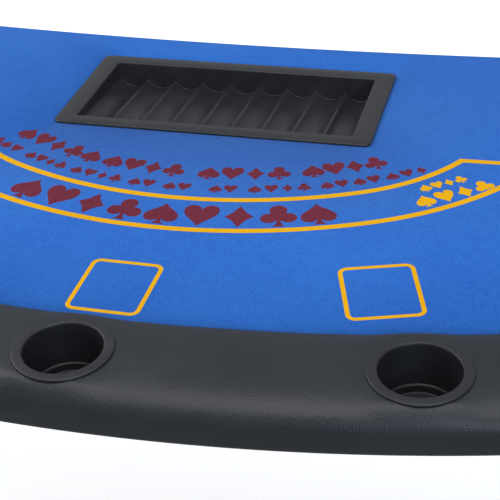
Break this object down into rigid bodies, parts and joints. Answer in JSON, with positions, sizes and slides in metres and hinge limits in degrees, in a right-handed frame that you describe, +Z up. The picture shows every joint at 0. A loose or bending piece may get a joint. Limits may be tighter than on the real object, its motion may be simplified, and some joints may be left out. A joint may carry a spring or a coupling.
{
  "type": "folding blackjack table",
  "caption": "Bow-fronted folding card table with a cloth top, padded arm rail, drop-in cup holders, a drop-in chip tray and two folding leg frames.",
  "frame": {"origin": "on the floor under the middle of the table's box", "axes": "+X along the table from the left end to the right end as a player sees it, +Y towards the dealer, +Z up"},
  "size_m": [1.83, 0.872, 0.762],
  "materials": {
    "plywood": "bare plywood, sanded",
    "foam": "thin open-cell foam sheet",
    "cloth": "short-napped blue table cloth with yellow and dark red print",
    "leatherette": "black leatherette, fine grain, soft sheen",
    "tray_plastic": "moulded black plastic, satin",
    "cup_plastic": "moulded black plastic, satin",
    "rubber": "moulded black rubber",
    "zinc": "bright zinc plate",
    "black_steel": "black powder coat, satin"
  },
  "bodies": {
    "table_top": {"table_board": "plywood", "rail_base": "plywood", "foam_underlay": "foam", "felt_layout": "cloth", "rail_pad": "leatherette", "rail_bolt_1": "zinc", "rail_bolt_2": "zinc", "rail_bolt_3": "zinc", "rail_bolt_4": "zinc", "leg_board_left": "plywood", "brace_bracket_left": "black_steel", "brace_pin_left": "zinc", "brace_screw_left_1": "zinc", "brace_screw_left_2": "zinc", "hinge_bracket_left_front": "black_steel", "hinge_screw_left_front_1": "zinc", "hinge_screw_left_front_2": "zinc", "hinge_bracket_left_rear": "black_steel", "hinge_screw_left_rear_1": "zinc", "hinge_screw_left_rear_2": "zinc", "leg_board_right": "plywood", "brace_bracket_right": "black_steel", "brace_pin_right": "zinc", "brace_screw_right_1": "zinc", "brace_screw_right_2": "zinc", "hinge_bracket_right_front": "black_steel", "hinge_screw_right_front_1": "zinc", "hinge_screw_right_front_2": "zinc", "hinge_bracket_right_rear": "black_steel", "hinge_screw_right_rear_1": "zinc", "hinge_screw_right_rear_2": "zinc"},
    "chip_tray": {"chip_tray": "tray_plastic"},
    "cup_holder_1": {"cup_holder_1": "cup_plastic"},
    "cup_holder_2": {"cup_holder_2": "cup_plastic"},
    "cup_holder_3": {"cup_holder_3": "cup_plastic"},
    "cup_holder_4": {"cup_holder_4": "cup_plastic"},
    "cup_holder_5": {"cup_holder_5": "cup_plastic"},
    "cup_holder_6": {"cup_holder_6": "cup_plastic"},
    "cup_holder_7": {"cup_holder_7": "cup_plastic"},
    "leg_left": {"hinge_tube_left": "black_steel", "leg_tube_left_front": "black_steel", "leg_tube_left_rear": "black_steel", "crossbar_left": "black_steel", "foot_left_front": "rubber", "foot_left_rear": "rubber", "lug_pin_left": "zinc"},
    "upper_brace_left": {"upper_brace_left": "zinc", "elbow_rivet_left": "zinc"},
    "lower_brace_left": {"lower_brace_left": "zinc"},
    "leg_right": {"hinge_tube_right": "black_steel", "leg_tube_right_front": "black_steel", "leg_tube_right_rear": "black_steel", "crossbar_right": "black_steel", "foot_right_front": "rubber", "foot_right_rear": "rubber", "lug_pin_right": "zinc"},
    "upper_brace_right": {"upper_brace_right": "zinc", "elbow_rivet_right": "zinc"},
    "lower_brace_right": {"lower_brace_right": "zinc"}
  },
  "joints": [
    {"name": "leg_left_fold", "type": "hinge", "parent": "table_top", "child": "leg_left", "pos_m": [-0.715, 0.07, 0.684], "axis": [0, -1, 0], "range_deg": [0, 90]},
    {"name": "upper_brace_left_swing", "type": "hinge", "parent": "table_top", "child": "upper_brace_left", "pos_m": [-0.335, 0.07, 0.708], "axis": [0, 1, 0], "range_deg": [0, 42.31]},
    {"name": "lower_brace_left_swing", "type": "hinge", "parent": "leg_left", "child": "lower_brace_left", "pos_m": [-0.691, 0.07, 0.384], "axis": [0, -1, 0], "range_deg": [0, 47.69]},
    {"name": "leg_right_fold", "type": "hinge", "parent": "table_top", "child": "leg_right", "pos_m": [0.715, 0.07, 0.684], "axis": [0, 1, 0], "range_deg": [0, 90]},
    {"name": "upper_brace_right_swing", "type": "hinge", "parent": "table_top", "child": "upper_brace_right", "pos_m": [0.335, 0.07, 0.708], "axis": [0, -1, 0], "range_deg": [0, 42.31]},
    {"name": "lower_brace_right_swing", "type": "hinge", "parent": "leg_right", "child": "lower_brace_right", "pos_m": [0.691, 0.07, 0.384], "axis": [0, 1, 0], "range_deg": [0, 47.69]},
    {"name": "chip_tray_lift", "type": "slide", "parent": "table_top", "child": "chip_tray", "axis": [0, 0, 1], "range_m": [0, 0.1]},
    {"name": "cup_holder_1_lift", "type": "slide", "parent": "table_top", "child": "cup_holder_1", "axis": [0, 0, 1], "range_m": [0, 0.09]},
    {"name": "cup_holder_2_lift", "type": "slide", "parent": "table_top", "child": "cup_holder_2", "axis": [0, 0, 1], "range_m": [0, 0.09]},
    {"name": "cup_holder_3_lift", "type": "slide", "parent": "table_top", "child": "cup_holder_3", "axis": [0, 0, 1], "range_m": [0, 0.09]},
    {"name": "cup_holder_4_lift", "type": "slide", "parent": "table_top", "child": "cup_holder_4", "axis": [0, 0, 1], "range_m": [0, 0.09]},
    {"name": "cup_holder_5_lift", "type": "slide", "parent": "table_top", "child": "cup_holder_5", "axis": [0, 0, 1], "range_m": [0, 0.09]},
    {"name": "cup_holder_6_lift", "type": "slide", "parent": "table_top", "child": "cup_holder_6", "axis": [0, 0, 1], "range_m": [0, 0.09]},
    {"name": "cup_holder_7_lift", "type": "slide", "parent": "table_top", "child": "cup_holder_7", "axis": [0, 0, 1], "range_m": [0, 0.09]}
  ],
  "couplings": [
    {"joint": "upper_brace_left_swing", "follows": "leg_left_fold", "ratio": 0.47006},
    {"joint": "lower_brace_left_swing", "follows": "leg_left_fold", "ratio": 0.52993},
    {"joint": "upper_brace_right_swing", "follows": "leg_right_fold", "ratio": 0.47006},
    {"joint": "lower_brace_right_swing", "follows": "leg_right_fold", "ratio": 0.52993}
  ]
}
